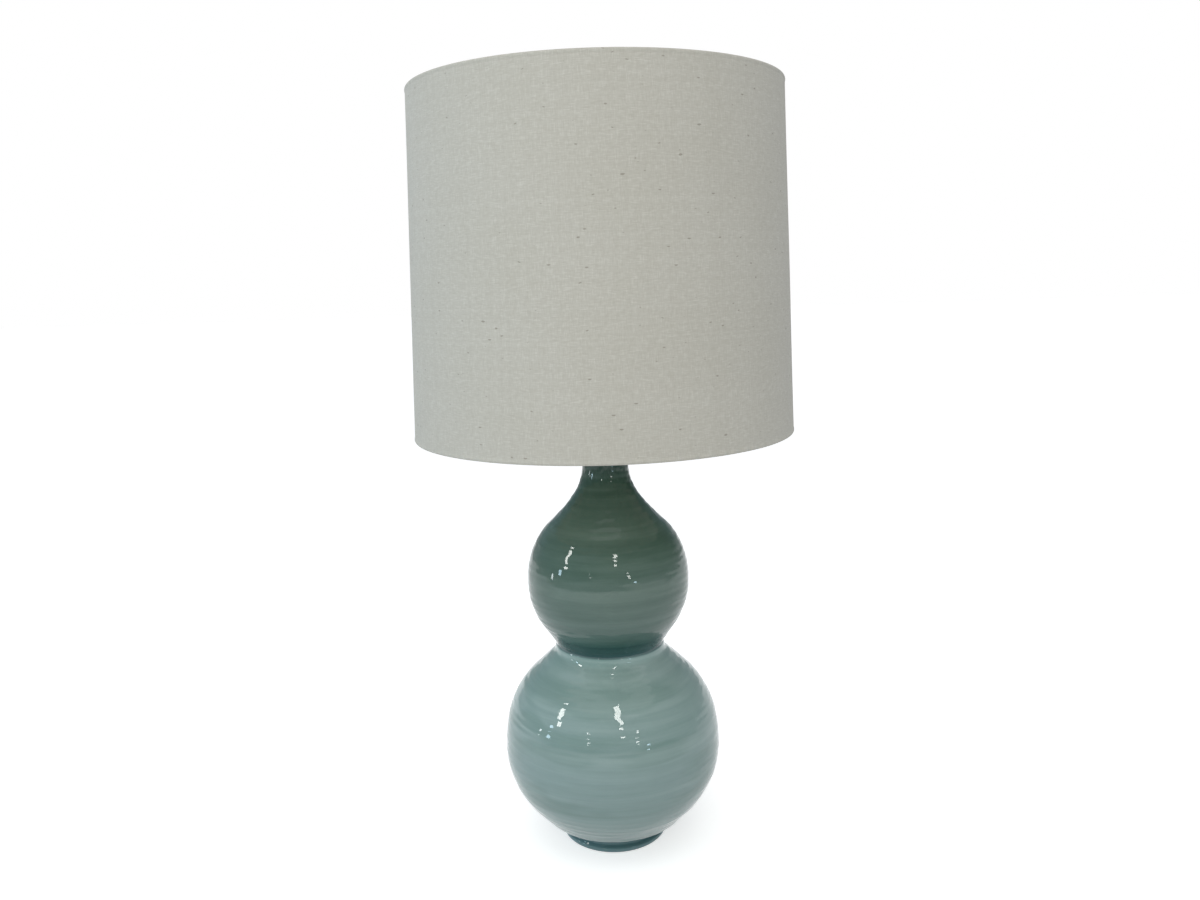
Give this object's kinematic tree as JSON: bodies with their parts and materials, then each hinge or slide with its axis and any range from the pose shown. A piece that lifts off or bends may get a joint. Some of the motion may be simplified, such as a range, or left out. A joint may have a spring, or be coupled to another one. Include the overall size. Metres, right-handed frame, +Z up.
{
  "type": "double gourd table lamp",
  "caption": "Table lamp with a glazed ceramic body of two stacked globes, a screw-in bulb under a wire harp and a linen drum shade.",
  "frame": {"origin": "centre of the felt's underside, on the axis of the body", "axes": "+Z up; -Y towards the front, where the switch key points; +X to the viewer's right"},
  "size_m": [0.381, 0.3808, 0.7846],
  "materials": {
    "felt": "dark green wool felt",
    "glaze": "glossy celadon glaze, pooled darker in the waist and at the foot",
    "zinc_steel": "zinc-plated steel",
    "rubber": "matt black rubber",
    "fitting_brass": "satin brass",
    "socket_brass": "bright brass shell",
    "terminal_brass": "plain brass",
    "insulating_paper": "brown pressed paper",
    "phenolic": "black moulded phenolic",
    "key_steel": "plain steel",
    "bulb_glass": "clear glass",
    "cap_metal": "drawn aluminium",
    "black_glass": "black fused insulator",
    "tungsten": "drawn tungsten wire",
    "linen": "off-white linen, plain weave with slubs",
    "liner": "white translucent liner",
    "ring_steel": "white-lacquered wire",
    "spider_metal": "satin brass-plated wire"
  },
  "bodies": {
    "base": {"felt_pad": "felt", "ceramic_foot": "glaze", "ceramic_lower_globe": "glaze", "ceramic_upper_globe": "glaze", "ceramic_neck": "glaze", "base_washer": "zinc_steel", "base_lock_washer": "zinc_steel", "base_nut": "zinc_steel", "cord_grommet": "rubber", "lamp_pipe": "zinc_steel", "neck_gasket": "rubber", "vase_cap": "fitting_brass", "neck_spacer": "fitting_brass", "harp_saddle": "zinc_steel", "socket_cap": "socket_brass", "socket_set_screw": "zinc_steel", "socket_shell": "socket_brass", "socket_insulator": "insulating_paper", "socket_insert": "phenolic", "socket_screw_shell": "socket_brass", "socket_centre_contact": "terminal_brass", "socket_terminal_screws": "terminal_brass"},
    "harp": {"harp_loop": "fitting_brass", "harp_ferrules": "fitting_brass"},
    "sleeve_left": {"harp_sleeve_left": "fitting_brass"},
    "sleeve_right": {"harp_sleeve_right": "fitting_brass"},
    "swivel_stud": {"harp_swivel_stud": "fitting_brass"},
    "shade": {"shade_fabric": "linen", "shade_liner": "liner", "shade_top_ring": "ring_steel", "shade_bottom_ring": "ring_steel", "spider_hub": "spider_metal", "spider_arms": "spider_metal"},
    "finial": {"finial": "fitting_brass"},
    "bulb": {"bulb_glass": "bulb_glass", "bulb_screw_cap": "cap_metal", "bulb_insulator": "black_glass", "bulb_contact": "terminal_brass", "bulb_stem": "bulb_glass", "bulb_filament": "tungsten"},
    "switch_key": {"switch_stem": "key_steel", "switch_knob": "phenolic"}
  },
  "joints": [
    {"name": "harp_lift", "type": "slide", "parent": "base", "child": "harp", "axis": [0, 0, 1], "range_m": [0, 0.15]},
    {"name": "sleeve_left_lift", "type": "slide", "parent": "harp", "child": "sleeve_left", "axis": [0, 0, 1], "range_m": [0, 0.014]},
    {"name": "sleeve_right_lift", "type": "slide", "parent": "harp", "child": "sleeve_right", "axis": [0, 0, 1], "range_m": [0, 0.014]},
    {"name": "shade_swivel", "type": "hinge", "parent": "harp", "child": "swivel_stud", "pos_m": [0, 0, 0.757], "axis": [0, 0, 1], "continuous": true},
    {"name": "shade_lift", "type": "slide", "parent": "swivel_stud", "child": "shade", "axis": [0, 0, 1], "range_m": [0, 0.36]},
    {"name": "finial_turn", "type": "hinge", "parent": "shade", "child": "finial", "pos_m": [0, 0, 0.765], "axis": [0, 0, 1], "continuous": true},
    {"name": "bulb_turn", "type": "hinge", "parent": "base", "child": "bulb", "pos_m": [0, 0, 0.52], "axis": [0, 0, 1], "continuous": true},
    {"name": "key_turn", "type": "hinge", "parent": "base", "child": "switch_key", "pos_m": [0, -0.02, 0.49204], "axis": [0, 1, 0], "continuous": true}
  ]
}
